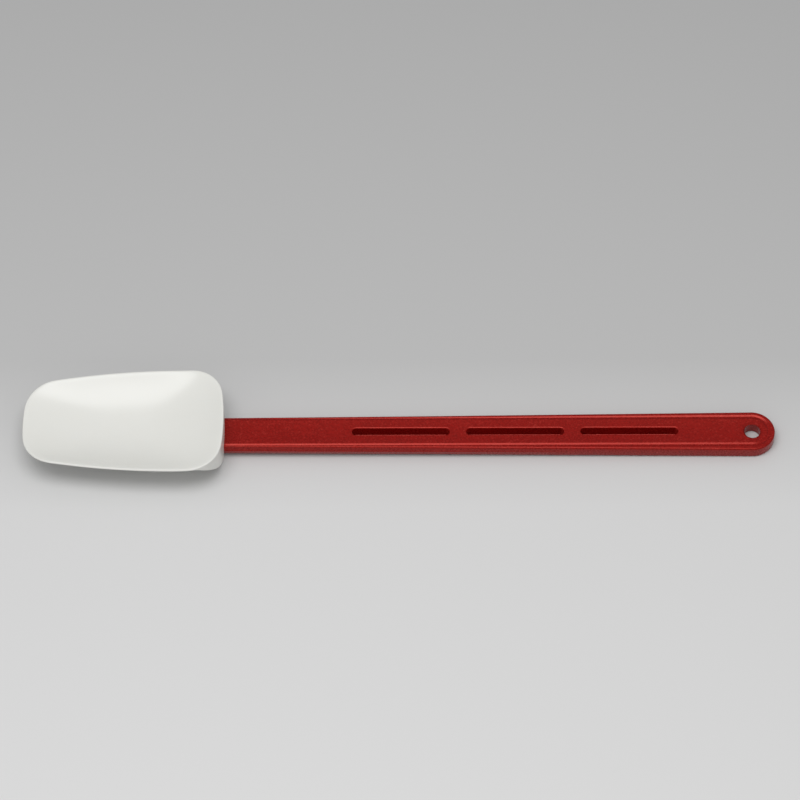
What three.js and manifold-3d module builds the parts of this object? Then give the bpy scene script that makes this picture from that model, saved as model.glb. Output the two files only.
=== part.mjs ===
// Silicone spoon: a soft bowl moulded over the tang of a long nylon handle.
// Millimetres, +Z up. The spoon lies on a table, Z = 0, with its bowl open upward and its tip toward -X.
// X = 0 is halfway along the spoon, and Y = 0 is its plane of symmetry.

import * as THREE from 'three';
import { mergeVertices } from 'three/addons/utils/BufferGeometryUtils.js';
import Module from 'manifold-3d';

const wasm = await Module();
wasm.setup();

// Head, seen from above
const HEAD_LENGTH = 112.1;
const HEAD_TIP_WIDTH = 56;
const HEAD_HEEL_WIDTH = 67.4;
const TIP_CORNER_RADIUS = 20;
const HEEL_CORNER_RADIUS = 18.5;
const TIP_CROWN_RADIUS = 92;
const HEEL_CROWN_RADIUS = 150;
const HEAD_SIDE_RADIUS = 400;

// Head, heights and walls
const RIM_HEIGHT = 21.8;
const HEEL_RISE = 1.5;
const TIP_DROP = 3.2;
const RIM_LAND = 1.2;
const RIM_LIP = 1.4;
const RIM_ROUND = 0.6;
const FOOT_ROUND = 0.7;
const FLOOR_THICKNESS = 12.6;
const HEEL_UNDERWALL = 2.2;
const BOWL_CENTRE_FROM_TIP = 60;
const REST_CENTRE_FROM_TIP = 75;
const REST_LAND_LENGTH = 22;

// How sharply the bowl, its underside and the rim of its tip curve, as powers of the distance from the middle
const BOWL_SIDE_POWER = 2;
const BOWL_HEEL_POWER = 2.2;
const UNDERSIDE_POWER = 1.25;
const TIP_DROP_POWER = 1.8;

// Handle
const HANDLE_LENGTH = 307.2;
const HANDLE_HEEL_WIDTH = 18.1;
const HANDLE_END_WIDTH = 25.3;
const HANDLE_THICKNESS = 7.6;
const HANDLE_LIFT = 3;
const EDGE_RADIUS = 1.6;
const HEEL_BEAD = 0.15;
const HEEL_BULGE = 1.2;
const PANEL_BEVEL = 0.9;
const GROOVE_DEPTH = 0.42;
const HANGING_HOLE_DIAMETER = 9;
const HANGING_HOLE_LIP = 0.8;

// Deep pockets in the handle's upper face
const POCKET_LENGTH = 54.4;
const POCKET_WIDTH = 4.5;
const POCKET_FLOOR = 0.8;
const POCKET_RIB = 9.4;
const POCKET_TO_HOLE = 41.5;
const PLAIN_NECK = 60;

// Tang inside the head
const SEAT_DEPTH = 4;
const TANG_LENGTH = 50;
const TANG_WIDTH = 13;
const TANG_THICKNESS = 4;
const LOCK_HOLE_DIAMETER = 6;
const LOCK_HOLE_PITCH = 15;
const LOCK_HOLE_COUNT = 3;
const MOULD_CLEARANCE = 0.3;

// Fineness of the curves, in steps
const CORNER_STEPS = 9;
const CROWN_STEPS = 3;
const SIDE_STEPS = 8;
const BOWL_RINGS = 11;
const UNDERSIDE_RINGS = 8;
const HANDLE_STATIONS = 12;
const END_STEPS = 20;
const HOLE_STEPS = 32;
const ROUND_STEPS = 8;

// Places along the spoon
const TIP_X = -(HEAD_LENGTH + HANDLE_LENGTH) / 2;
const HEEL_X = TIP_X + HEAD_LENGTH;
const END_X = HEEL_X + HANDLE_LENGTH;
const BOWL_X = TIP_X + BOWL_CENTRE_FROM_TIP;
const REST_X = TIP_X + REST_CENTRE_FROM_TIP;
const END_RADIUS = HANDLE_END_WIDTH / 2;

// Cuts run this far past the face that they open
const OVERRUN = 2;

// The groove's floor takes this share of the way from the panel to the bead's crest
const GROOVE_FLOOR = 0.4;

// A corner's radius stays under this share of the width that it rounds
const CORNER_LIMIT = 0.45;

// Solids

function solid(geometry) {
  const bare = geometry.clone();
  bare.deleteAttribute('normal');
  bare.deleteAttribute('uv');
  const merged = mergeVertices(bare);
  const mesh = new wasm.Mesh({
    numProp: 3,
    vertProperties: new Float32Array(merged.attributes.position.array),
    triVerts: new Uint32Array(merged.index.array),
  });
  return new wasm.Manifold(mesh);
}

function geometryOf(manifold) {
  const mesh = manifold.getMesh();
  const geometry = new THREE.BufferGeometry();
  geometry.setAttribute('position', new THREE.BufferAttribute(mesh.vertProperties, 3));
  geometry.setIndex(new THREE.BufferAttribute(mesh.triVerts, 1));
  geometry.computeVertexNormals();
  return geometry;
}

function extrude(shape, depth, curveSegments) {
  return new THREE.ExtrudeGeometry(shape, { depth, curveSegments, bevelEnabled: false });
}

/** Skin over a stack of rings with equal counts, each counter-clockwise from above, from the top down. */
function stripTriangles(ringCount, count) {
  const triangles = [];
  for (let ring = 0; ring < ringCount - 1; ring += 1) {
    for (let i = 0; i < count; i += 1) {
      const next = (i + 1) % count;
      const upper = ring * count;
      const lower = upper + count;
      triangles.push(upper + i, lower + i, lower + next);
      triangles.push(upper + i, lower + next, upper + next);
    }
  }
  return triangles;
}

function indexedGeometry(points, triangles) {
  const geometry = new THREE.BufferGeometry();
  geometry.setAttribute('position', new THREE.Float32BufferAttribute(points.flat(), 3));
  geometry.setIndex(triangles);
  return geometry;
}

function smoothStep(from, to, value) {
  return THREE.MathUtils.smoothstep(value, from, to);
}

// Head outline: five tangent arcs from the middle of the heel to the middle of the tip, then mirrored

function headOutline() {
  const tipRadius = Math.min(TIP_CORNER_RADIUS, CORNER_LIMIT * HEAD_TIP_WIDTH);
  const heelRadius = Math.min(HEEL_CORNER_RADIUS, CORNER_LIMIT * HEAD_HEEL_WIDTH);
  const tipCrown = { x: TIP_X + TIP_CROWN_RADIUS, y: 0, radius: TIP_CROWN_RADIUS };
  const heelCrown = { x: HEEL_X - HEEL_CROWN_RADIUS, y: 0, radius: HEEL_CROWN_RADIUS };
  const tipCorner = { y: HEAD_TIP_WIDTH / 2 - tipRadius, radius: tipRadius };
  const heelCorner = { y: HEAD_HEEL_WIDTH / 2 - heelRadius, radius: heelRadius };
  tipCorner.x = tipCrown.x - Math.sqrt((tipCrown.radius - tipRadius) ** 2 - tipCorner.y ** 2);
  heelCorner.x = heelCrown.x + Math.sqrt((heelCrown.radius - heelRadius) ** 2 - heelCorner.y ** 2);
  const side = arcAround(tipCorner, heelCorner, HEAD_SIDE_RADIUS);

  const heelTangent = bearing(heelCrown, heelCorner);
  const sideHeelTangent = bearing(side, heelCorner);
  const sideTipTangent = bearing(side, tipCorner);
  const tipTangent = bearing(tipCrown, tipCorner);
  const half = [
    ...arcPoints(heelCrown, 0, heelTangent, CROWN_STEPS),
    ...arcPoints(heelCorner, heelTangent, sideHeelTangent, CORNER_STEPS),
    ...arcPoints(side, sideHeelTangent, sideTipTangent, SIDE_STEPS),
    ...arcPoints(tipCorner, sideTipTangent, tipTangent, CORNER_STEPS),
    ...arcPoints(tipCrown, tipTangent, Math.PI, CROWN_STEPS),
  ];
  const tipMiddle = { x: TIP_X, y: 0, nx: -1, ny: 0 };
  const mirrored = half.slice(1).reverse().map((p) => ({ x: p.x, y: -p.y, nx: p.nx, ny: -p.ny }));
  return [...half, tipMiddle, ...mirrored];
}

/** Centre of the large arc that touches two corner arcs from outside, on the side of +Y. */
function arcAround(first, second, radius) {
  const toFirst = radius - first.radius;
  const toSecond = radius - second.radius;
  const span = Math.hypot(second.x - first.x, second.y - first.y);
  const along = (toFirst ** 2 - toSecond ** 2 + span ** 2) / (2 * span);
  const across = Math.sqrt(toFirst ** 2 - along ** 2);
  const ux = (second.x - first.x) / span;
  const uy = (second.y - first.y) / span;
  return { x: first.x + along * ux + across * uy, y: first.y + along * uy - across * ux, radius };
}

function bearing(from, to) {
  return Math.atan2(to.y - from.y, to.x - from.x);
}

/** Points of an arc with their outward normals, without the last one. */
function arcPoints(arc, start, end, steps) {
  return Array.from({ length: steps }, (_, i) => {
    const angle = start + ((end - start) * i) / steps;
    const nx = Math.cos(angle);
    const ny = Math.sin(angle);
    return { x: arc.x + arc.radius * nx, y: arc.y + arc.radius * ny, nx, ny };
  });
}

// Head surfaces

/** How far a rim point is into the heel end: 0 along the sides, 1 at the heel. */
function heelShare(x) {
  return smoothStep((BOWL_X + HEEL_X) / 2, HEEL_X, x);
}

/** How far a rim point is into the tip end: 0 along the sides, 1 at the middle of the tip. */
function tipShare(point) {
  const across = (2 * Math.abs(point.y)) / HEAD_TIP_WIDTH;
  return point.x < BOWL_X ? Math.max(0, 1 - across ** TIP_DROP_POWER) : 0;
}

function rimHeight(point) {
  return RIM_HEIGHT + HEEL_RISE * heelShare(point.x) - TIP_DROP * tipShare(point);
}

/** Height of the lower edge of the outer wall: a thin lip, but a tall wall where the heel cuts the trough. */
function wallFootHeight(point) {
  const lip = rimHeight(point) - RIM_LIP;
  if (point.x < BOWL_X) return lip;
  const keel = HANDLE_LIFT - HEEL_UNDERWALL;
  const halfWidth = HEAD_HEEL_WIDTH / 2;
  const depth = RIM_HEIGHT - keel;
  const radius = (halfWidth ** 2 + depth ** 2) / (2 * depth);
  const across = Math.min(Math.abs(point.y), halfWidth);
  return Math.min(lip, keel + radius - Math.sqrt(radius ** 2 - across ** 2));
}

function insetRing(outline, inset, heightOf) {
  return outline.map((p) => [p.x - inset * p.nx, p.y - inset * p.ny, heightOf(p)]);
}

/** Ring drawn in toward a middle point, with its height given by the edge point that it comes from. */
function drawnRing(edge, middleX, share, heightOf) {
  return edge.map(([x, y], i) => [middleX + share * (x - middleX), share * y, heightOf(i)]);
}

function headBlank() {
  const outline = headOutline();
  const land = insetRing(outline, RIM_LAND, rimHeight);
  const foot = insetRing(outline, FOOT_ROUND, wallFootHeight);
  const restShare = REST_LAND_LENGTH / HEAD_LENGTH;

  const rings = [];
  for (let step = 1; step < BOWL_RINGS; step += 1) {
    const share = step / BOWL_RINGS;
    rings.push(drawnRing(land, BOWL_X, share, (i) => {
      const power = THREE.MathUtils.lerp(BOWL_SIDE_POWER, BOWL_HEEL_POWER, heelShare(outline[i].x));
      return FLOOR_THICKNESS + (land[i][2] - FLOOR_THICKNESS) * share ** power;
    }));
  }
  rings.push(land);
  rings.push(insetRing(outline, RIM_ROUND, rimHeight));
  rings.push(insetRing(outline, 0, (p) => rimHeight(p) - RIM_ROUND));
  rings.push(insetRing(outline, 0, (p) => wallFootHeight(p) + FOOT_ROUND));
  rings.push(foot);
  for (let step = UNDERSIDE_RINGS - 1; step >= 0; step -= 1) {
    const climb = step / UNDERSIDE_RINGS;
    const share = restShare + (1 - restShare) * climb;
    rings.push(drawnRing(foot, REST_X, share, (i) => foot[i][2] * climb ** UNDERSIDE_POWER));
  }

  const count = outline.length;
  const points = [...rings.flat(), [BOWL_X, 0, FLOOR_THICKNESS], [REST_X, 0, 0]];
  const floorMiddle = points.length - 2;
  const restMiddle = points.length - 1;
  const lastRing = (rings.length - 1) * count;
  const triangles = stripTriangles(rings.length, count);
  for (let i = 0; i < count; i += 1) {
    const next = (i + 1) % count;
    triangles.push(floorMiddle, i, next);
    triangles.push(restMiddle, lastRing + next, lastRing + i);
  }
  return indexedGeometry(points, triangles);
}

// Handle: its own frame has the hanging hole's axis at x = 0 and its underside at z = 0

const HANDLE_HEEL = END_RADIUS - HANDLE_LENGTH;
const HANDLE_ROOT = HANDLE_HEEL - SEAT_DEPTH;

/**
 * Half the section, as distances from the middle and heights, from the upper panel round to the lower one.
 * A bead runs along the bevelled panel beyond a groove. It starts at the heel and rises to the panel's level.
 * The side bulges to its parting line halfway down, most at the heel and not at all round the hanging hole.
 */
function handleSection(x) {
  const growth = THREE.MathUtils.clamp((x - HANDLE_HEEL) / -HANDLE_HEEL, 0, 1);
  const half = THREE.MathUtils.lerp(HANDLE_HEEL_WIDTH, HANDLE_END_WIDTH, growth) / 2;
  const bulge = HEEL_BULGE * (1 - growth);
  const groove = HANDLE_THICKNESS - GROOVE_DEPTH;
  const crest = groove + growth * GROOVE_DEPTH;
  const panel = HANDLE_HEEL_WIDTH / 2 - HEEL_BEAD;
  const round = Math.min(EDGE_RADIUS, (half - panel) / 2);
  const turn = round * (1 - Math.SQRT1_2);
  const upper = [
    [panel - PANEL_BEVEL, HANDLE_THICKNESS],
    [panel, groove],
    [THREE.MathUtils.lerp(panel, half - round, GROOVE_FLOOR), groove],
    [half - round, crest],
    [half - turn, crest - turn],
    [half, crest - round],
  ];
  const lower = upper.map(([across, z]) => [across, HANDLE_THICKNESS - z]).reverse();
  return [...upper, [half + bulge, HANDLE_THICKNESS / 2], ...lower];
}

function beam() {
  const step = HANDLE_ROOT / HANDLE_STATIONS;
  const stations = Array.from({ length: HANDLE_STATIONS + 1 }, (_, i) => step * i);
  const sections = stations.map(handleSection);
  const ringCount = sections[0].length;
  const rings = Array.from({ length: ringCount }, (_, ring) => {
    const far = stations.map((x, i) => [x, sections[i][ring][0], sections[i][ring][1]]);
    const near = far.map(([x, y, z]) => [x, -y, z]).reverse();
    const [radius, z] = sections[0][ring];
    const end = [];
    for (let turn = 1; turn < END_STEPS; turn += 1) {
      const angle = Math.PI * (turn / END_STEPS - 0.5);
      end.push([radius * Math.cos(angle), radius * Math.sin(angle), z]);
    }
    return [...near, ...end, ...far];
  });
  const count = rings[0].length;
  const panel = rings[0].map(([x, y]) => new THREE.Vector2(x, y));
  const lowest = (ringCount - 1) * count;
  const triangles = stripTriangles(ringCount, count);
  for (const [a, b, c] of THREE.ShapeUtils.triangulateShape(panel, [])) {
    triangles.push(a, b, c);
    triangles.push(lowest + a, lowest + c, lowest + b);
  }
  return solid(indexedGeometry(rings.flat(), triangles));
}

function slotShape(length, width) {
  const radius = width / 2;
  const reach = length / 2 - radius;
  const shape = new THREE.Shape();
  shape.absarc(reach, 0, radius, -Math.PI / 2, Math.PI / 2, false);
  shape.absarc(-reach, 0, radius, Math.PI / 2, (3 * Math.PI) / 2, false);
  return shape;
}

/** Cutters for the row of pockets, as many as fit between the hanging hole and the plain neck. */
function pocketCutters() {
  const pitch = POCKET_LENGTH + POCKET_RIB;
  const room = -HANDLE_HEEL - POCKET_TO_HOLE - PLAIN_NECK + POCKET_RIB;
  const cutters = [];
  for (let i = 0; i < Math.floor(room / pitch); i += 1) {
    const middle = -POCKET_TO_HOLE - POCKET_LENGTH / 2 - i * pitch;
    const depth = HANDLE_THICKNESS - POCKET_FLOOR;
    const geometry = extrude(slotShape(POCKET_LENGTH, POCKET_WIDTH), depth + OVERRUN, ROUND_STEPS);
    cutters.push(solid(geometry.translate(middle, 0, POCKET_FLOOR)));
  }
  return cutters;
}

function hangingHoleCutters() {
  const radius = HANGING_HOLE_DIAMETER / 2;
  const through = new THREE.CylinderGeometry(radius, radius, HANDLE_THICKNESS + 2 * OVERRUN, HOLE_STEPS);
  const mouth = radius + 2 * HANGING_HOLE_LIP;
  const lip = new THREE.CylinderGeometry(mouth, radius, 2 * HANGING_HOLE_LIP, HOLE_STEPS);
  through.rotateX(Math.PI / 2).translate(0, 0, HANDLE_THICKNESS / 2);
  const upper = lip.clone().rotateX(Math.PI / 2).translate(0, 0, HANDLE_THICKNESS);
  const lower = lip.clone().rotateX(-Math.PI / 2);
  return [solid(through), solid(upper), solid(lower)];
}

/** Slope of the tang below the beam, so that its free end lies in the middle of the bowl's floor. */
function tangDip() {
  const rootHeight = HANDLE_LIFT + SEAT_DEPTH * Math.sin(handleTilt()) + HANDLE_THICKNESS / 2;
  return Math.atan2(rootHeight - FLOOR_THICKNESS / 2, TANG_LENGTH) + handleTilt();
}

/** Flat tongue with a round free end and lock holes, all grown by the clearance where it cuts its socket. */
function tang(growth) {
  const half = TANG_WIDTH / 2 + growth;
  const round = TANG_LENGTH - TANG_WIDTH / 2;
  const shape = new THREE.Shape();
  shape.moveTo(SEAT_DEPTH / 2, half);
  shape.lineTo(-round, half);
  shape.absarc(-round, 0, half, Math.PI / 2, (3 * Math.PI) / 2, false);
  shape.lineTo(SEAT_DEPTH / 2, -half);
  for (let i = 0; i < LOCK_HOLE_COUNT; i += 1) {
    const hole = new THREE.Path();
    hole.absarc(i * LOCK_HOLE_PITCH - round, 0, LOCK_HOLE_DIAMETER / 2 - growth, 0, 2 * Math.PI, true);
    shape.holes.push(hole);
  }
  const thickness = TANG_THICKNESS + 2 * growth;
  const geometry = extrude(shape, thickness, ROUND_STEPS);
  geometry.translate(0, 0, -thickness / 2).rotateY(-tangDip());
  return geometry.translate(HANDLE_ROOT, 0, HANDLE_THICKNESS / 2);
}

/** Mouth of the socket: six-sided like the beam at the heel, grown by the clearance, run past the heel. */
function seatCutter() {
  const half = HANDLE_HEEL_WIDTH / 2 + MOULD_CLEARANCE;
  const wide = half + HEEL_BULGE;
  const low = -MOULD_CLEARANCE;
  const high = HANDLE_THICKNESS + MOULD_CLEARANCE;
  const middle = HANDLE_THICKNESS / 2;
  const corners = [[half, high], [-half, high], [-wide, middle], [-half, low], [half, low], [wide, middle]];
  const shape = new THREE.Shape(corners.map(([across, z]) => new THREE.Vector2(across, z)));
  const geometry = extrude(shape, SEAT_DEPTH + MOULD_CLEARANCE + OVERRUN, ROUND_STEPS);
  geometry.rotateX(Math.PI / 2).rotateZ(Math.PI / 2);
  return geometry.translate(HANDLE_ROOT - MOULD_CLEARANCE, 0, 0);
}

// The spoon rests on the bowl's land and on the panel at the hanging end, which tilts the handle a little

function handleTilt() {
  return Math.asin(HANDLE_LIFT / (HANDLE_LENGTH - END_RADIUS + restReach()));
}

/** How far past the hanging hole the lower panel touches the table. */
function restReach() {
  return HANDLE_HEEL_WIDTH / 2 - HEEL_BEAD - PANEL_BEVEL;
}

// Assembly

function finish(name, color, roughness) {
  return new THREE.MeshStandardMaterial({ name, color, roughness, metalness: 0 });
}

const handleFrame = new THREE.Group();
handleFrame.rotation.y = handleTilt();
handleFrame.position.set(END_X - END_RADIUS, 0, restReach() * Math.sin(handleTilt()));
handleFrame.updateMatrix();

let handleSolid = beam().add(solid(tang(0)));
for (const cutter of [...pocketCutters(), ...hangingHoleCutters()]) {
  handleSolid = handleSolid.subtract(cutter);
}
const handle = new THREE.Mesh(geometryOf(handleSolid), finish('red_nylon', 0x8a1f1b, 0.5));
handle.name = 'handle';
handleFrame.add(handle);

const socketTang = solid(tang(MOULD_CLEARANCE).applyMatrix4(handleFrame.matrix));
const socketMouth = solid(seatCutter().applyMatrix4(handleFrame.matrix));
const headSolid = solid(headBlank()).subtract(socketTang).subtract(socketMouth);
const head = new THREE.Mesh(geometryOf(headSolid), finish('white_silicone', 0xe2e2dc, 0.45));
head.name = 'spoon_head';

const spoon = new THREE.Group();
spoon.add(handleFrame, head);

export default spoon;
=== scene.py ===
"""A silicone spoon on a pale table: a white bowl moulded over the tang of a long red nylon handle.

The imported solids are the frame. Both are replaced by finer pieces in the same place: SpoonBowl and Handle
hold their sizes in millimetres and model them, and each finish is a material.
"""

import logging
import math
from dataclasses import dataclass
from enum import Enum
from typing import Callable, Sequence, Union

import bmesh
import bpy
from mathutils import Matrix, Quaternion, Vector


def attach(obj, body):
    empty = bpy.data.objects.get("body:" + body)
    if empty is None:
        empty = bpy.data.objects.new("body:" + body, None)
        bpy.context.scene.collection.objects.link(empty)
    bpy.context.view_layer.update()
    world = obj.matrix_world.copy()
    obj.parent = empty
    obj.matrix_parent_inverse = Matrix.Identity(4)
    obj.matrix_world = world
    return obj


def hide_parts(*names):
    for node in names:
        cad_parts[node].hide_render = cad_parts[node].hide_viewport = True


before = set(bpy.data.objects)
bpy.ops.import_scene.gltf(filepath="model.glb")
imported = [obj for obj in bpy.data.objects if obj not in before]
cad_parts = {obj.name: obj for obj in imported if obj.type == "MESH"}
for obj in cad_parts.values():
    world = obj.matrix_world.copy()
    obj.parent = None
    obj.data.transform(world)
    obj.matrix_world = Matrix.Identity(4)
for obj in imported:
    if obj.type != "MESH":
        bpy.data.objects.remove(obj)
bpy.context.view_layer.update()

LOG = logging.getLogger("silicone_spoon")
MM = 0.001
MERGE_DISTANCE = 0.001 * MM
NOISE_MIDDLE = 0.5
ROUND_TURNS = (0.0, 30.0, 60.0, 90.0)

Ring = list[Vector]
Pair = tuple[float, float]
Colour = tuple[float, float, float]


# Modelling by hand


class Cut(Enum):
    """How one solid changes another."""

    AWAY = "DIFFERENCE"
    ONTO = "UNION"


def mm(x: float, y: float, z: float) -> Vector:
    """Gives a point in metres from millimetres."""
    return Vector((x, y, z)) * MM


def blend(start: float, end: float, share: float) -> float:
    """Gives the value that lies a share of the way from start to end."""
    return start + (end - start) * share


def eased(start: float, end: float, value: float) -> float:
    """Gives 0 before start, 1 after end and a smooth climb between them."""
    share = min(max((value - start) / (end - start), 0.0), 1.0)
    return share * share * (3 - 2 * share)


def bend(start: Vector, middle: Vector, end: Vector, steps: int) -> list[Vector]:
    """Gives points of a soft bend between two points.

    Args:
        start: The first point, which the result holds.
        middle: The corner that the bend is drawn toward.
        end: The last point, which the result leaves out.
        steps: How many points the result has.

    Returns:
        The points from start on.
    """
    shares = [step / steps for step in range(steps)]
    return [start * (1 - s) ** 2 + middle * (2 * s * (1 - s)) + end * s ** 2 for s in shares]


def eased_ring(ring: Ring, rounds: int) -> Ring:
    """Gives a ring with softer corners.

    Args:
        ring: The ring's points.
        rounds: How often each point is drawn toward its neighbours.

    Returns:
        The softened ring, with as many points.
    """
    for _ in range(rounds):
        ring = [(ring[i - 1] + point * 2 + ring[(i + 1) % len(ring)]) / 4 for i, point in enumerate(ring)]
    return ring


def place_ring(piece: bpy.types.Object, order: Sequence[int], ring: Ring) -> None:
    """Moves vertices to the points of a ring.

    Args:
        piece: The object in edit mode.
        order: The vertices, in their order round the ring.
        ring: Their new places.
    """
    mesh = bmesh.from_edit_mesh(piece.data)
    mesh.verts.ensure_lookup_table()
    for index, point in zip(order, ring):
        mesh.verts[index].co = point
    bmesh.update_edit_mesh(piece.data)


def select_chain(piece: bpy.types.Object, order: Sequence[int]) -> None:
    """Selects vertices and the edges between them, and nothing else.

    Args:
        piece: The object in edit mode.
        order: The vertices.
    """
    bpy.ops.mesh.select_all(action="DESELECT")
    mesh = bmesh.from_edit_mesh(piece.data)
    mesh.verts.ensure_lookup_table()
    for index in order:
        mesh.verts[index].select = True
    mesh.select_flush(True)
    bmesh.update_edit_mesh(piece.data)


def extrude_ring(piece: bpy.types.Object, order: Sequence[int]) -> list[int]:
    """Extrudes a closed ring of edges.

    Args:
        piece: The object in edit mode.
        order: The ring's vertices, in their order round it.

    Returns:
        The new ring's vertices, in the same order.
    """
    select_chain(piece, order)
    bpy.ops.mesh.extrude_region_move()
    mesh = bmesh.from_edit_mesh(piece.data)
    mesh.verts.index_update()
    mesh.verts.ensure_lookup_table()
    grown = []
    for index in order:
        vertex = mesh.verts[index]
        partners = [edge.other_vert(vertex) for edge in vertex.link_edges]
        grown.append(next(partner.index for partner in partners if partner.select))
    return grown


def loft(name: str, rings: Sequence[Ring], open_start: bool = False) -> bpy.types.Object:
    """Models a shell from a circle that is shaped and extruded from ring to ring.

    Args:
        name: The piece's name.
        rings: Rings of equal counts, from one end of the shell to the other.
        open_start: Leaves the first ring without a face.

    Returns:
        The piece, in edit mode, with the first ring's vertices first.
    """
    bpy.ops.object.select_all(action="DESELECT")
    bpy.ops.mesh.primitive_circle_add(vertices=len(rings[0]), radius=MM)
    piece = bpy.context.active_object
    piece.name = piece.data.name = name
    bpy.ops.object.mode_set(mode="EDIT")
    bpy.ops.mesh.select_mode(type="VERT")
    first = order = list(range(len(rings[0])))
    place_ring(piece, order, rings[0])
    for ring in rings[1:]:
        order = extrude_ring(piece, order)
        place_ring(piece, order, ring)
    for end in ([order] if open_start else [first, order]):
        select_chain(piece, end)
        bpy.ops.mesh.edge_face_add()
    return piece


def close_shell(piece: bpy.types.Object) -> bpy.types.Object:
    """Merges a shell's doubles and turns its faces outward.

    Args:
        piece: The object in edit mode.

    Returns:
        The object, in object mode.
    """
    bpy.ops.mesh.select_all(action="SELECT")
    bpy.ops.mesh.remove_doubles(threshold=MERGE_DISTANCE)
    bpy.ops.mesh.normals_make_consistent(inside=False)
    bpy.ops.object.mode_set(mode="OBJECT")
    return piece


def solid(name: str, rings: Sequence[Ring]) -> bpy.types.Object:
    """Models a closed piece from rings and leaves it in object mode."""
    return close_shell(loft(name, rings))


def take_up(piece: bpy.types.Object) -> None:
    """Makes a piece the only selected one and the active one.

    Args:
        piece: The piece.
    """
    bpy.ops.object.select_all(action="DESELECT")
    piece.select_set(True)
    bpy.context.view_layer.objects.active = piece


def apply_modifier(piece: bpy.types.Object, kind: str, **settings: object) -> None:
    """Adds a modifier and applies it.

    Args:
        piece: The piece that it works on.
        kind: The modifier's type.
        settings: The modifier's settings.
    """
    take_up(piece)
    modifier = piece.modifiers.new(kind.title(), kind)
    for key, value in settings.items():
        setattr(modifier, key, value)
    bpy.ops.object.modifier_apply(modifier=modifier.name)


def work(piece: bpy.types.Object, tool: bpy.types.Object, cut: Cut) -> None:
    """Cuts a tool out of a piece, or joins it on, and deletes the tool."""
    apply_modifier(piece, "BOOLEAN", operation=cut.value, solver="EXACT", object=tool)
    bpy.data.objects.remove(tool, do_unlink=True)


def set_down(piece: bpy.types.Object, matrix: Matrix) -> bpy.types.Object:
    """Moves a piece and keeps its place in its mesh.

    Args:
        piece: The piece.
        matrix: Where it goes.

    Returns:
        The piece, unturned and at the origin.
    """
    take_up(piece)
    piece.matrix_world = matrix
    bpy.ops.object.transform_apply(location=True, rotation=True, scale=True)
    return piece


def smooth(piece: bpy.types.Object, angle: float) -> None:
    """Shades a piece smoothly, apart from edges sharper than an angle in degrees."""
    take_up(piece)
    bpy.ops.object.shade_smooth_by_angle(angle=math.radians(angle))


def hand_over(piece: bpy.types.Object, node: str, finish: bpy.types.Material) -> None:
    """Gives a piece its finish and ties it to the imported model.

    Args:
        piece: The finished piece.
        node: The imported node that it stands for.
        finish: The piece's material.
    """
    piece.data.materials.clear()
    piece.data.materials.append(finish)
    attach(piece, "root")
    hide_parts(node)
    LOG.info("%s stands for %s with %d faces", piece.name, node, len(piece.data.polygons))


# Finishes


class Shade:
    """A value in a material. Python's operators on it add Math nodes."""

    def __init__(self, sheet: "Sheet", socket: bpy.types.NodeSocket) -> None:
        """Wraps an output socket of a sheet's node."""
        self.sheet = sheet
        self.socket = socket

    def _math(self, operation: str, first: "Term", second: "Term") -> "Shade":
        """Adds a Math node on two values."""
        return self.sheet.node("ShaderNodeMath", {"operation": operation}, {0: first, 1: second})

    def __add__(self, other: "Term") -> "Shade":
        """Adds a value."""
        return self._math("ADD", self, other)

    def __radd__(self, other: "Term") -> "Shade":
        """Adds this to a value."""
        return self._math("ADD", other, self)

    def __sub__(self, other: "Term") -> "Shade":
        """Takes a value away."""
        return self._math("SUBTRACT", self, other)

    def __rsub__(self, other: "Term") -> "Shade":
        """Takes this away from a value."""
        return self._math("SUBTRACT", other, self)

    def __mul__(self, other: "Term") -> "Shade":
        """Multiplies by a value."""
        return self._math("MULTIPLY", self, other)

    def __rmul__(self, other: "Term") -> "Shade":
        """Multiplies a value by this."""
        return self._math("MULTIPLY", other, self)


Term = Union[Shade, float]


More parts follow.
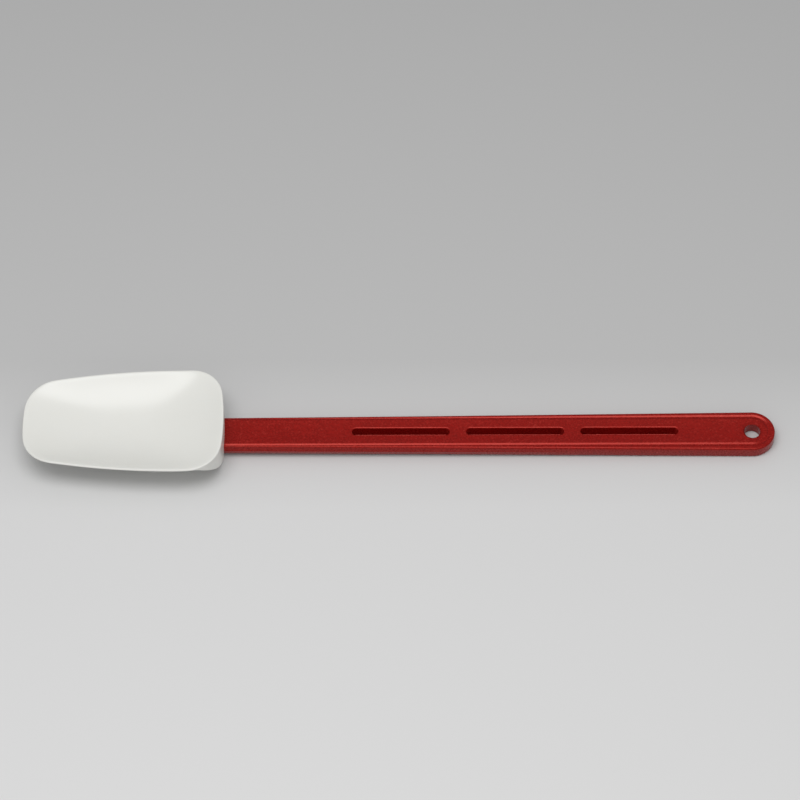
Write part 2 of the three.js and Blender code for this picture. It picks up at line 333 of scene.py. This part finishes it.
class Sheet:
    """The nodes of a material or of the world, with one method that adds any of them."""

    # The Mix node's colour sockets share their names with its other sockets, so they go by number.
    MIX_SHARE = 0
    MIX_FIRST = 6
    MIX_SECOND = 7
    MIX_RESULT = 2

    def __init__(self, owner: Union[bpy.types.Material, bpy.types.World]) -> None:
        """Starts with no nodes.

        Args:
            owner: The material or world that the nodes belong to.
        """
        owner.use_nodes = True
        self.owner = owner
        self.tree = owner.node_tree
        self.tree.nodes.clear()

    def node(self, kind: str, settings: dict, inputs: dict, output: Union[int, str] = 0) -> Shade:
        """Adds a node.

        Args:
            kind: The node's type.
            settings: The node's own settings, set first. A ramp's stops are a list of (place, colour).
            inputs: Values or links of its sockets, by name or number.
            output: The socket that the result stands for.

        Returns:
            The output as a value.
        """
        made = self.tree.nodes.new(kind)
        for key, value in settings.items():
            if key == "stops":
                self._set_stops(made.color_ramp, value)
            else:
                setattr(made, key, value)
        for key, value in inputs.items():
            if isinstance(value, Shade):
                self.tree.links.new(value.socket, made.inputs[key])
            else:
                made.inputs[key].default_value = value
        return Shade(self, made.outputs[output])

    @staticmethod
    def _set_stops(ramp: bpy.types.ColorRamp, stops: Sequence[tuple[float, Colour]]) -> None:
        """Gives a colour ramp its stops.

        Args:
            ramp: The ramp.
            stops: Each stop's place from 0 to 1, with its colour.
        """
        while len(ramp.elements) < len(stops):
            ramp.elements.new(1.0)
        for element, (place, colour) in zip(ramp.elements, stops):
            element.position = place
            element.color = (*colour, 1.0)

    def points(self) -> Shade:
        """Gives the surface's own place on the object."""
        return self.node("ShaderNodeTexCoord", {}, {}, "Object")

    def noise(self, size_mm: float, detail: float = 2.0) -> Shade:
        """Gives a soft grey noise with lumps of a size in millimetres."""
        sockets = {"Vector": self.points(), "Scale": 1.0 / (size_mm * MM), "Detail": detail}
        return self.node("ShaderNodeTexNoise", {}, sockets, "Fac")

    def mixed(self, share: Term, first: Union[Shade, Colour], second: Colour) -> Shade:
        """Mixes two colours.

        Args:
            share: The second colour's share.
            first: The first colour, or a mixture.
            second: The second colour.

        Returns:
            The mixture.
        """
        ground = first if isinstance(first, Shade) else (*first, 1.0)
        sockets = {self.MIX_SHARE: share, self.MIX_FIRST: ground, self.MIX_SECOND: (*second, 1.0)}
        return self.node("ShaderNodeMix", {"data_type": "RGBA"}, sockets, self.MIX_RESULT)

    def bump(self, height: Shade, depth_mm: float, strength: float) -> Shade:
        """Makes a relief of a depth in millimetres from a grey height."""
        sockets = {"Height": height, "Distance": depth_mm * MM, "Strength": strength}
        return self.node("ShaderNodeBump", {}, sockets)

    def close(self, kind: str, shader: Shade) -> None:
        """Ends the sheet with an output of a kind that shows a shader."""
        output = self.tree.nodes.new(kind)
        self.tree.links.new(shader.socket, output.inputs["Surface"])

    def finish(self, inputs: dict) -> bpy.types.Material:
        """Ends a material with a Principled shader that takes these inputs."""
        self.close("ShaderNodeOutputMaterial", self.node("ShaderNodeBsdfPrincipled", {}, inputs))
        return self.owner


@dataclass(frozen=True)
class WhiteSilicone:
    """Smooth satin silicone, faintly cloudy, with a breath of light under its skin."""

    pale: Colour = (0.800, 0.800, 0.765)
    deep: Colour = (0.765, 0.765, 0.725)
    cloud_mm: float = 34.0
    ripple_mm: float = 9.0
    pore_mm: float = 0.5
    pore_share: float = 0.15
    relief_mm: float = 0.05
    relief_strength: float = 0.25
    roughness: float = 0.25
    cloud_haze: float = 0.08
    pore_haze: float = 0.06
    ior: float = 1.45
    glow: float = 0.12
    glow_radius: Colour = (0.9, 0.85, 0.8)
    glow_depth: float = 0.003

    def material(self) -> bpy.types.Material:
        """Makes the material.

        Returns:
            The material, with its relief and its clouds.
        """
        sheet = Sheet(bpy.data.materials.new("white_silicone"))
        clouds = sheet.noise(self.cloud_mm)
        pores = sheet.noise(self.pore_mm)
        ripples = sheet.noise(self.ripple_mm)
        height = pores * self.pore_share + ripples * (1 - self.pore_share)
        haze = (clouds - NOISE_MIDDLE) * self.cloud_haze + (pores - NOISE_MIDDLE) * self.pore_haze
        return sheet.finish({
            "Base Color": sheet.mixed(clouds, self.pale, self.deep),
            "Roughness": self.roughness + haze,
            "Normal": sheet.bump(height, self.relief_mm, self.relief_strength),
            "IOR": self.ior,
            "Subsurface Weight": self.glow,
            "Subsurface Radius": self.glow_radius,
            "Subsurface Scale": self.glow_depth,
        })


@dataclass(frozen=True)
class RedNylon:
    """Deep red glass-filled nylon with the fine sparkling grain of its mould and pale fibres in it."""

    red: Colour = (0.264, 0.0010, 0.0004)
    dark: Colour = (0.150, 0.0008, 0.0003)
    pale: Colour = (0.350, 0.022, 0.017)
    gleam: Colour = (1.0, 0.17, 0.14)
    cloud_mm: float = 14.0
    grain_mm: float = 1.2
    grain_detail: float = 3.0
    fleck_mm: float = 0.6
    fibre_mm: float = 0.9
    fibre_start: float = 0.56
    fibre_gain: float = 5.0
    red_share: float = 0.3
    cloud_tone: float = 0.4
    grain_tone: float = 1.4
    fleck_tone: float = 0.8
    grain_share: float = 0.6
    relief_mm: float = 0.08
    relief_strength: float = 0.4
    roughness: float = 0.28
    grain_haze: float = 0.25
    cloud_haze: float = 0.1
    ior: float = 1.56
    shine: float = 1.0

    def material(self) -> bpy.types.Material:
        """Makes the material.

        Returns:
            The material, with its relief, its grain and its fibres.
        """
        sheet = Sheet(bpy.data.materials.new("red_nylon"))
        clouds = sheet.noise(self.cloud_mm)
        grain = sheet.noise(self.grain_mm, self.grain_detail)
        flecks = sheet.noise(self.fleck_mm)
        height = grain * self.grain_share + flecks * (1 - self.grain_share)
        speckle = (grain - NOISE_MIDDLE) * self.grain_tone + (flecks - NOISE_MIDDLE) * self.fleck_tone
        ground = sheet.mixed(clouds * self.cloud_tone + speckle + self.red_share, self.dark, self.red)
        fibres = (sheet.noise(self.fibre_mm) - self.fibre_start) * self.fibre_gain
        haze = (grain - NOISE_MIDDLE) * self.grain_haze + (clouds - NOISE_MIDDLE) * self.cloud_haze
        return sheet.finish({
            "Base Color": sheet.mixed(fibres, ground, self.pale),
            "Roughness": self.roughness + haze,
            "Normal": sheet.bump(height, self.relief_mm, self.relief_strength),
            "IOR": self.ior,
            "Specular IOR Level": self.shine,
            "Specular Tint": (*self.gleam, 1.0),
        })


# The bowl


@dataclass(frozen=True)
class EdgePoint:
    """A point of the bowl's outline from above, with its outward direction, in millimetres."""

    x: float
    y: float
    out_x: float
    out_y: float


@dataclass(frozen=True)
class Arc:
    """A circle that the outline follows for a while."""

    x: float
    y: float
    radius: float

    def bearing(self, other: "Arc") -> float:
        """Gives the direction from this arc's centre to another's."""
        return math.atan2(other.y - self.y, other.x - self.x)

    def points(self, start: float, end: float, steps: int) -> list[EdgePoint]:
        """Gives points along the arc.

        Args:
            start: The first point's direction from the centre, in radians.
            end: The direction where the arc ends, without a point.
            steps: How many points there are.

        Returns:
            The points from start on.
        """
        made = []
        for step in range(steps):
            angle = blend(start, end, step / steps)
            x, y = math.cos(angle), math.sin(angle)
            made.append(EdgePoint(self.x + self.radius * x, self.y + self.radius * y, x, y))
        return made


@dataclass
class SpoonBowl:
    """The silicone bowl, in millimetres: a dish with a soft rim, a hull below and an upright heel."""

    tip_x: float = -209.65
    length: float = 112.1
    tip_width: float = 56.0
    heel_width: float = 67.4
    tip_corner: float = 20.0
    heel_corner: float = 18.5
    tip_crown: float = 92.0
    heel_crown: float = 150.0
    side_radius: float = 400.0
    rim_height: float = 21.8
    heel_rise: float = 1.5
    tip_drop: float = 3.2
    rim_land: float = 1.2
    land_drop: float = 0.06
    rim_lip: float = 1.4
    rim_round: float = 0.6
    foot_round: float = 0.7
    floor: float = 12.6
    keel: float = 0.8
    bowl_from_tip: float = 60.0
    rest_from_tip: float = 75.0
    rest_length: float = 22.0
    side_power: float = 2.0
    heel_power: float = 2.2
    hull_power: float = 1.25
    drop_power: float = 1.8
    corner_ease: int = 120
    hull_ease: int = 60
    bowl_rings: int = 20
    wall_rings: int = 6
    hull_rings: int = 16
    heel_steps: int = 9
    corner_steps: int = 14
    side_steps: int = 22
    tip_steps: int = 8
    crease: float = 30.0

    @property
    def heel_x(self) -> float:
        """Gives the middle of the heel."""
        return self.tip_x + self.length

    @property
    def bowl_x(self) -> float:
        """Gives the deepest place of the dish."""
        return self.tip_x + self.bowl_from_tip

    def outline(self) -> list[EdgePoint]:
        """Gives the outline from above.

        Returns:
            Points on arcs from the heel round over +Y to the tip, and then their mirror image.
        """
        tip = Arc(self.tip_x + self.tip_crown, 0, self.tip_crown)
        heel = Arc(self.heel_x - self.heel_crown, 0, self.heel_crown)
        tip_y = self.tip_width / 2 - self.tip_corner
        heel_y = self.heel_width / 2 - self.heel_corner
        tip_in = math.sqrt((self.tip_crown - self.tip_corner) ** 2 - tip_y ** 2)
        heel_in = math.sqrt((self.heel_crown - self.heel_corner) ** 2 - heel_y ** 2)
        tip_corner = Arc(tip.x - tip_in, tip_y, self.tip_corner)
        heel_corner = Arc(heel.x + heel_in, heel_y, self.heel_corner)
        side = self._side(tip_corner, heel_corner)
        half = [
            *heel.points(0, heel.bearing(heel_corner), self.heel_steps),
            *heel_corner.points(heel.bearing(heel_corner), side.bearing(heel_corner), self.corner_steps),
            *side.points(side.bearing(heel_corner), side.bearing(tip_corner), self.side_steps),
            *tip_corner.points(side.bearing(tip_corner), tip.bearing(tip_corner), self.corner_steps),
            *tip.points(tip.bearing(tip_corner), math.pi, self.tip_steps),
        ]
        mirrored = [EdgePoint(p.x, -p.y, p.out_x, -p.out_y) for p in reversed(half[1:])]
        return [*half, EdgePoint(self.tip_x, 0, -1, 0), *mirrored]

    def _side(self, tip: Arc, heel: Arc) -> Arc:
        """Gives the long arc of the bowl's side.

        Args:
            tip: The corner at the tip.
            heel: The corner at the heel.

        Returns:
            The arc that touches both corners from outside.
        """
        to_tip, to_heel = self.side_radius - tip.radius, self.side_radius - heel.radius
        along = Vector((heel.x - tip.x, heel.y - tip.y))
        span = along.length
        along.normalize()
        reach = (to_tip ** 2 - to_heel ** 2 + span ** 2) / (2 * span)
        across = math.sqrt(to_tip ** 2 - reach ** 2)
        x = tip.x + reach * along.x + across * along.y
        y = tip.y + reach * along.y - across * along.x
        return Arc(x, y, self.side_radius)

    def heel_share(self, point: EdgePoint) -> float:
        """Gives 0 along the sides and 1 at the heel."""
        return eased((self.bowl_x + self.heel_x) / 2, self.heel_x, point.x)

    def rim(self, point: EdgePoint) -> float:
        """Gives the rim's height.

        Args:
            point: A point of the outline.

        Returns:
            The height, which dips over the tip and rises at the heel.
        """
        across = min(2 * abs(point.y) / self.tip_width, 1.0)
        dip = 1 - across ** self.drop_power if point.x < self.bowl_x else 0.0
        return self.rim_height + self.heel_rise * self.heel_share(point) - self.tip_drop * dip

    def foot(self, point: EdgePoint) -> float:
        """Gives the height of the outer wall's lower edge.

        Args:
            point: A point of the outline.

        Returns:
            The height: close below the rim on the thin lip, and low down where the heel cuts the hull.
        """
        lip = self.rim(point) - self.rim_lip
        if point.x < self.bowl_x:
            return lip
        half = self.heel_width / 2
        rise = self.rim_height - self.keel
        radius = (half ** 2 + rise ** 2) / (2 * rise)
        across = min(abs(point.y), half)
        return min(lip, self.keel + radius - math.sqrt(radius ** 2 - across ** 2))

    def _around(self, inset: float, height: Callable[[EdgePoint], float]) -> Ring:
        """Gives a ring inside the outline, at heights that follow its points."""
        return [mm(p.x - inset * p.out_x, p.y - inset * p.out_y, height(p)) for p in self.outline()]

    @staticmethod
    def _drawn(edge: Ring, middle_x: float, share: float, height: Callable[[int], float]) -> Ring:
        """Gives a ring drawn in from an edge.

        Args:
            edge: The outer ring.
            middle_x: The place that the ring is drawn toward.
            share: The ring's size as a share of the edge.
            height: Gives each point's height from its number.

        Returns:
            The smaller ring.
        """
        middle = middle_x * MM
        return [
            Vector((blend(middle, p.x, share), p.y * share, height(i) * MM)) for i, p in enumerate(edge)
        ]

    def dish_rings(self) -> list[Ring]:
        """Gives the rings of the dish.

        Returns:
            The rings from the dish's middle to the rim, with softer corners toward the middle.
        """
        outline = self.outline()
        land = self._around(self.rim_land, self.rim)
        powers = [blend(self.side_power, self.heel_power, self.heel_share(p)) for p in outline]
        rings = []
        for step in range(1, self.bowl_rings):
            share = step / self.bowl_rings
            drawn = self._drawn(land, self.bowl_x, share, lambda i: blend(
                self.floor, self.rim(outline[i]), share ** powers[i]
            ))
            rings.append(eased_ring(drawn, round((1 - share) * self.corner_ease)))
        return rings

    def rim_rings(self) -> list[Ring]:
        """Gives the rings of the rim and the outer wall.

        Returns:
            The rings from the rim's inner edge over its top, down the wall and round the wall's foot.
        """
        rings = [self._around(self.rim_land, lambda p: self.rim(p) - self.land_drop)]
        for turn in ROUND_TURNS:
            inset = self.rim_round * (1 - math.sin(math.radians(turn)))
            drop = self.rim_round * (1 - math.cos(math.radians(turn)))
            rings.append(self._around(inset, lambda p: self.rim(p) - drop))
        for step in range(1, self.wall_rings):
            share = step / self.wall_rings
            rings.append(self._around(0, lambda p: blend(
                self.rim(p) - self.rim_round, self.foot(p) + self.foot_round, share
            )))
        for turn in ROUND_TURNS:
            inset = self.foot_round * (1 - math.cos(math.radians(turn)))
            rise = self.foot_round * (1 - math.sin(math.radians(turn)))
            rings.append(self._around(inset, lambda p: self.foot(p) + rise))
        return rings

    def hull_rings_below(self) -> list[Ring]:
        """Gives the rings of the hull.

        Returns:
            The rings from the wall's foot to the flat land that the bowl rests on.
        """
        outline = self.outline()
        foot = self._around(self.foot_round, self.foot)
        flat = self.rest_length / self.length
        rings = []
        for step in range(self.hull_rings - 1, -1, -1):
            climb = step / self.hull_rings
            drawn = self._drawn(
                foot, self.tip_x + self.rest_from_tip, blend(flat, 1.0, climb),
                lambda i: self.foot(outline[i]) * climb ** self.hull_power,
            )
            rings.append(eased_ring(drawn, round((1 - climb) * self.hull_ease)))
        return rings

    def build(self, handle: "Handle") -> bpy.types.Object:
        """Models the bowl and cuts its socket.

        Args:
            handle: The handle whose tang the bowl is moulded over.

        Returns:
            The finished bowl.
        """
        rings = [*self.dish_rings(), *self.rim_rings(), *self.hull_rings_below()]
        bowl = solid("silicone_bowl", rings)
        apply_modifier(bowl, "SUBSURF", levels=1, render_levels=1)
        for tool in handle.socket_tools():
            work(bowl, tool, Cut.AWAY)
        smooth(bowl, self.crease)
        return bowl


# The handle


@dataclass
class Handle:
    """The nylon handle, in millimetres.

    Its own frame has the hanging hole at x = 0 and its back at z = 0. Toward the bowl it lies up to 0.9 mm
    lower and is up to 1.3 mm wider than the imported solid.
    """

    end_x: float = 209.65
    length: float = 307.2
    heel_width: float = 19.4
    end_width: float = 25.3
    thickness: float = 7.6
    lift: float = 2.1
    edge_radius: float = 1.0
    edge_steps: int = 10
    heel_bead: float = 0.8
    heel_bulge: float = 0.9
    panel_bevel: float = 0.9
    panel_sink: float = 0.11
    border_foot: float = 6.75
    border_crest: float = 7.25
    bevel_round: float = 0.3
    bevel_steps: int = 4
    bevel_middle: float = 0.45
    groove_depth: float = 0.42
    groove_floor: float = 0.25
    brow_slope: float = 0.42
    brow_least: float = 0.2
    hole_diameter: float = 9.0
    hole_lip: float = 0.8
    hole_draw: Pair = (0.35, -0.45)
    pocket_length: float = 54.4
    pocket_width: float = 4.5
    pocket_floor: float = 0.8
    pocket_rib: float = 9.4
    pocket_to_hole: float = 41.5
    pocket_count: int = 3
    pocket_lip: float = 0.65
    pocket_draw: Pair = (0.08, -0.25)
    pocket_foot: float = 0.4
    foot_waist: float = 0.3
    lip_depth: float = 0.8
    lip_steps: int = 8
    seat_depth: float = 4.0
    tang_length: float = 50.0
    tang_width: float = 13.0
    tang_thickness: float = 4.0
    tang_floor: float = 12.6
    lock_diameter: float = 6.0
    lock_pitch: float = 15.0
    lock_count: int = 3
    lock_reach: float = 9.0
    clearance: float = 0.1
    stations: int = 26
    end_steps: int = 40
    round_points: int = 48
    over: float = 2.0
    crease: float = 13.0

    @property
    def heel(self) -> float:
        """Gives where the handle leaves the bowl."""
        return self.end_width / 2 - self.length

    @property
    def root(self) -> float:
        """Gives where the handle's full section ends inside the bowl."""
        return self.heel - self.seat_depth

    @property
    def panel(self) -> float:
        """Gives half the width of the raised panel at its foot."""
        return self.heel_width / 2 - self.heel_bead

    @property
    def flat(self) -> float:
        """Gives half the width of the raised panel's flat face."""
        return self.panel - self.panel_bevel

    @property
    def face(self) -> float:
        """Gives the height of the panel's middle, a little below its border."""
        return self.thickness - self.panel_sink

    @property
    def tilt(self) -> float:
        """Gives the slope at which the handle lies, from its lifted heel to its hanging end."""
        return math.asin(self.lift / (self.length - self.end_width / 2 + self.flat))

    def place(self) -> Matrix:
        """Gives the handle's place on the table."""
        spot = mm(self.end_x - self.end_width / 2, 0, self.flat * math.sin(self.tilt))
        return Matrix.Translation(spot) @ Matrix.Rotation(self.tilt, 4, "Y")

    def half_profile(self, x: float) -> list[Pair]:
        """Gives half of a section.

        Args:
            x: Where the section lies along the handle.

        Returns:
            Distances from the middle with heights, from the upper panel round to the lower one.
        """
        growth = min(max(1 - x / self.heel, 0.0), 1.0)
        half = blend(self.heel_width, self.end_width, growth) / 2
        top = self.thickness
        groove = top - self.groove_depth
        crest = groove + growth * self.groove_depth
        turn = min(self.edge_radius, (half - self.panel) / 2)
        ridge = half - turn
        gap = ridge - self.panel
        run = max((crest - groove) / self.brow_slope, gap * self.brow_least)
        corner, valley = Vector((self.flat, top)), Vector((self.panel, groove))
        bevel = corner.lerp(valley, self.bevel_round / self.panel_bevel)
        flank = Vector((self.panel + gap * self.groove_floor, groove))
        brow = Vector((min(flank.x + run, ridge - gap * self.brow_least / 2), crest))
        soft = Vector((self.bevel_round, 0.0))
        border = [Vector((self.border_foot, self.face)), Vector((self.border_crest, top))]
        upper = [
            corner - soft * 2,
            *bend(corner - soft, corner, bevel, self.bevel_steps),
            bevel,
            bevel.lerp(valley, self.bevel_middle),
            valley,
            flank,
            brow,
        ]
        for step in range(self.edge_steps + 1):
            angle = math.radians(90.0 * step / self.edge_steps)
            upper.append(Vector((ridge + turn * math.sin(angle), crest - turn + turn * math.cos(angle))))
        parting = Vector((half + self.heel_bulge * (1 - growth), top / 2))
        lower = [Vector((p.x, top - p.y)) for p in reversed(upper)]
        return [tuple(p) for p in [*border, *upper, parting, *lower]]

    def section(self, x: float, grown: float = 0.0) -> Ring:
        """Gives a whole section as a ring.

        Args:
            x: Where the section lies along the handle.
            grown: How far the ring is grown for a clearance.

        Returns:
            The ring from the middle of the upper panel round over +Y.
        """
        half = self.half_profile(x)
        wide = max(across for across, _ in half)
        middle = self.thickness / 2
        stretch, swell = 1 + grown / wide, 1 + grown / middle
        points = [(0.0, self.face), *half, (0.0, 0.0), *((-a, z) for a, z in reversed(half))]
        return [mm(x, a * stretch, middle + (z - middle) * swell) for a, z in points]

    def stadium(self, middle: float, length: float, width: float, grown: float, z: float) -> Ring:
        """Gives a ring with straight sides and round ends, such as a pocket's outline.

        Args:
            middle: Where its middle lies along the handle.
            length: Its length over the round ends.
            width: Its width.
            grown: How far it is grown all round.
            z: Its height.

        Returns:
            The ring.
        """
        radius = width / 2 + grown
        reach = max(length / 2 - width / 2, 0.0)
        ring = []
        for step in range(self.round_points):
            angle = 2 * math.pi * (step + 0.5) / self.round_points
            offset = math.copysign(reach, math.cos(angle))
            ring.append(mm(middle + offset + radius * math.cos(angle), radius * math.sin(angle), z))
        return ring

    def beam(self) -> bpy.types.Object:
        """Models the bar.

        Returns:
            The bar: its section is extruded to the root, and half of it is spun round the hanging end.
        """
        rings = [self.section(self.root * i / self.stations) for i in range(self.stations + 1)]
        bar = loft("nylon_handle", rings, open_start=True)
        half = len(rings[0]) // 2
        select_chain(bar, range(half + 1))
        bpy.ops.mesh.spin(steps=self.end_steps, angle=math.pi, center=(0, 0, 0), axis=(0, 0, 1))
        return close_shell(bar)

    def lip_levels(self, lip: float, draw: Pair) -> list[Pair]:
        """Gives the levels of a cut's rounded lip.

        Args:
            lip: The lip's width.
            draw: The corner that its bend is drawn toward, in shares of the width.

        Returns:
            Each level's growth and its height over the face, from the cut's wall outward.
        """
        wall, corner, face = Vector((0.0, -self.lip_depth)) * lip, Vector(draw) * lip, Vector((lip, 0.0))
        beyond = face + (face - corner).normalized() * self.over
        return [tuple(point) for point in [*bend(wall, corner, face, self.lip_steps), face, beyond]]

    def pocket_tool(self, middle: float) -> bpy.types.Object:
        """Models the cutter of one pocket, with a rounded foot and lip.

        Args:
            middle: Where the pocket's middle lies along the handle.

        Returns:
            The cutter.
        """
        foot, deep, waist = self.pocket_foot, self.pocket_floor, self.pocket_foot * self.foot_waist
        levels = [(-foot, deep), (-waist, deep + waist), (0.0, deep + foot)]
        lip = self.lip_levels(self.pocket_lip, self.pocket_draw)
        levels += [(grown, self.face + height) for grown, height in lip]
        size = self.pocket_length, self.pocket_width
        return solid("pocket_tool", [self.stadium(middle, *size, grown, z) for grown, z in levels])

    def hole_tool(self) -> bpy.types.Object:
        """Models the cutter of the hanging hole.

        Returns:
            The cutter, with both the hole's lips.
        """
        lip = self.lip_levels(self.hole_lip, self.hole_draw)
        upper = [(grown, self.face + height) for grown, height in lip]
        lower = [(grown, -height) for grown, height in reversed(lip)]
        size = self.hole_diameter
        return solid("hole_tool", [self.stadium(0, size, size, g, z) for g, z in [*lower, *upper]])

    def tongue(self, grown: float) -> bpy.types.Object:
        """Models the flat tang with its lock holes, in the handle's frame.

        Args:
            grown: The clearance that it is grown by where it is a cutter.

        Returns:
            The tang, which reaches a little into the bar.
        """
        half = self.tang_thickness / 2 + grown
        middle, length = (self.seat_depth - self.tang_length) / 2, self.tang_length + self.seat_depth
        faces = (-half, half)
        tang = solid("tang", [self.stadium(middle, length, self.tang_width, grown, z) for z in faces])
        size = self.lock_diameter - 2 * grown
        ends = (-self.lock_reach, self.lock_reach)
        for i in range(self.lock_count):
            spot = i * self.lock_pitch - self.tang_length + self.tang_width / 2
            work(tang, solid("lock", [self.stadium(spot, size, size, 0, z) for z in ends]), Cut.AWAY)
        height = self.lift + self.seat_depth * math.sin(self.tilt) + self.thickness / 2
        dip = math.atan2(height - self.tang_floor / 2, self.tang_length) + self.tilt
        seat = Matrix.Translation(mm(self.root, 0, self.thickness / 2))
        return set_down(tang, seat @ Matrix.Rotation(-dip, 4, "Y"))

    def socket_tools(self) -> list[bpy.types.Object]:
        """Models the cutters of the bowl's socket.

        Returns:
            The handle's end and its tang, both grown a little and in place.
        """
        ends = (self.root - self.clearance, self.heel + self.over)
        mouth = solid("mouth_tool", [self.section(x, self.clearance) for x in ends])
        return [set_down(tool, self.place()) for tool in (mouth, self.tongue(self.clearance))]

    def build(self) -> bpy.types.Object:
        """Models the handle with its tang, pockets and hanging hole.

        Returns:
            The finished handle, in place.
        """
        bar = self.beam()
        pitch = self.pocket_length + self.pocket_rib
        for i in range(self.pocket_count):
            middle = -self.pocket_to_hole - self.pocket_length / 2 - i * pitch
            work(bar, self.pocket_tool(middle), Cut.AWAY)
        work(bar, self.hole_tool(), Cut.AWAY)
        work(bar, self.tongue(0.0), Cut.ONTO)
        set_down(bar, self.place())
        smooth(bar, self.crease)
        return bar


# The studio


@dataclass
class Studio:
    """A plain pale table, a large soft light overhead and the camera, in metres."""

    table_size: float = 8.0
    table_roughness: float = 0.6
    table_shine: float = 0.2
    tone_start: float = -0.30
    tone_span: float = 0.65
    # Painted light: the table's tone steps down from front to back, standing in for the light that falls
    # off toward the back.
    painted_falloff_tones: tuple[Pair, ...] = (
        (0.0, 0.735), (0.308, 0.688), (0.392, 0.676), (0.503, 0.564), (0.546, 0.515), (1.0, 0.462),
    )
    ambient: float = 0.53
    even_height: float = 2 / 3
    top_lean: float = 0.9
    front_lean: float = 0.25
    softbox_centre: tuple[float, float, float] = (-0.15, -0.235, 1.5)
    softbox_size: Pair = (1.42, 0.74)
    softbox_power: float = 10.95
    target: tuple[float, float, float] = (0.00041, 0.0, 0.008)
    elevation: float = 56.0
    distance: float = 2.2
    lens: float = 177.3
    clip_end: float = 100.0
    rise: float = 0.0181
    roll: float = -0.38

    def table_finish(self) -> bpy.types.Material:
        """Makes the table's finish.

        Returns:
            A pale grey material whose tone is painted lighter toward the front and darker toward the back,
            where less light falls.
        """
        sheet = Sheet(bpy.data.materials.new("pale_table"))
        depth = sheet.node("ShaderNodeSeparateXYZ", {}, {0: sheet.points()}, "Y")
        # Painted light: the tone follows the table's depth, lighter in front where more light falls.
        share = (depth - self.tone_start) * (1 / self.tone_span)
        stops = [(place, (tone,) * 3) for place, tone in self.painted_falloff_tones]
        tone = sheet.node("ShaderNodeValToRGB", {"stops": stops}, {"Fac": share}, "Color")
        return sheet.finish({
            "Base Color": tone,
            "Roughness": self.table_roughness,
            "Specular IOR Level": self.table_shine,
        })

    def lay_table(self) -> None:
        """Adds the table."""
        bpy.ops.object.select_all(action="DESELECT")
        bpy.ops.mesh.primitive_plane_add(size=self.table_size)
        table = bpy.context.active_object
        table.name = "table"
        table.data.materials.append(self.table_finish())

    def hang_softbox(self) -> None:
        """Adds the soft light overhead."""
        lamp = bpy.data.lights.new("softbox", "AREA")
        lamp.shape = "ELLIPSE"
        lamp.size, lamp.size_y = self.softbox_size
        lamp.energy = self.softbox_power
        softbox = bpy.data.objects.new("softbox", lamp)
        softbox.location = self.softbox_centre
        softbox.visible_camera = False
        bpy.context.scene.collection.objects.link(softbox)

    def light_room(self) -> None:
        """Adds the even light all round, stronger from above and in front."""
        sheet = Sheet(bpy.data.worlds.new("studio"))
        ways = sheet.node("ShaderNodeTexCoord", {}, {}, "Generated")
        back = sheet.node("ShaderNodeSeparateXYZ", {}, {0: ways}, "Y")
        top = sheet.node("ShaderNodeSeparateXYZ", {}, {0: ways}, "Z")
        lean = (top - self.even_height) * self.top_lean + 1.0 - back * self.front_lean
        sockets = {"Color": (1.0, 1.0, 1.0, 1.0), "Strength": lean * self.ambient}
        sheet.close("ShaderNodeOutputWorld", sheet.node("ShaderNodeBackground", {}, sockets))
        bpy.context.scene.world = sheet.owner

    def set_camera(self) -> None:
        """Adds the camera at the photograph's angle."""
        lens = bpy.data.cameras.new("camera")
        lens.lens = self.lens
        lens.clip_end = self.clip_end
        camera = bpy.data.objects.new("camera", lens)
        angle = math.radians(self.elevation)
        back = Vector((0, -math.cos(angle), math.sin(angle)))
        up = Vector((0, math.sin(angle), math.cos(angle)))
        camera.location = Vector(self.target) + back * self.distance
        look = Vector(self.target) + up * self.rise - camera.location
        camera.rotation_mode = "QUATERNION"
        turn = Quaternion((0, 0, 1), math.radians(self.roll))
        camera.rotation_quaternion = look.to_track_quat("-Z", "Y") @ turn
        bpy.context.scene.collection.objects.link(camera)
        bpy.context.scene.camera = camera

    def build(self) -> None:
        """Sets up the camera, the light and the table."""
        bpy.context.scene.view_settings.view_transform = "Standard"
        self.set_camera()
        self.hang_softbox()
        self.light_room()
        self.lay_table()


def main() -> None:
    """Builds the studio and the spoon."""
    logging.basicConfig(level=logging.INFO, format="%(name)s: %(message)s")
    Studio().build()
    handle = Handle()
    bowl = SpoonBowl().build(handle)
    hand_over(bowl, "spoon_head", WhiteSilicone().material())
    hand_over(handle.build(), "handle", RedNylon().material())


if __name__ == "__main__":
    main()
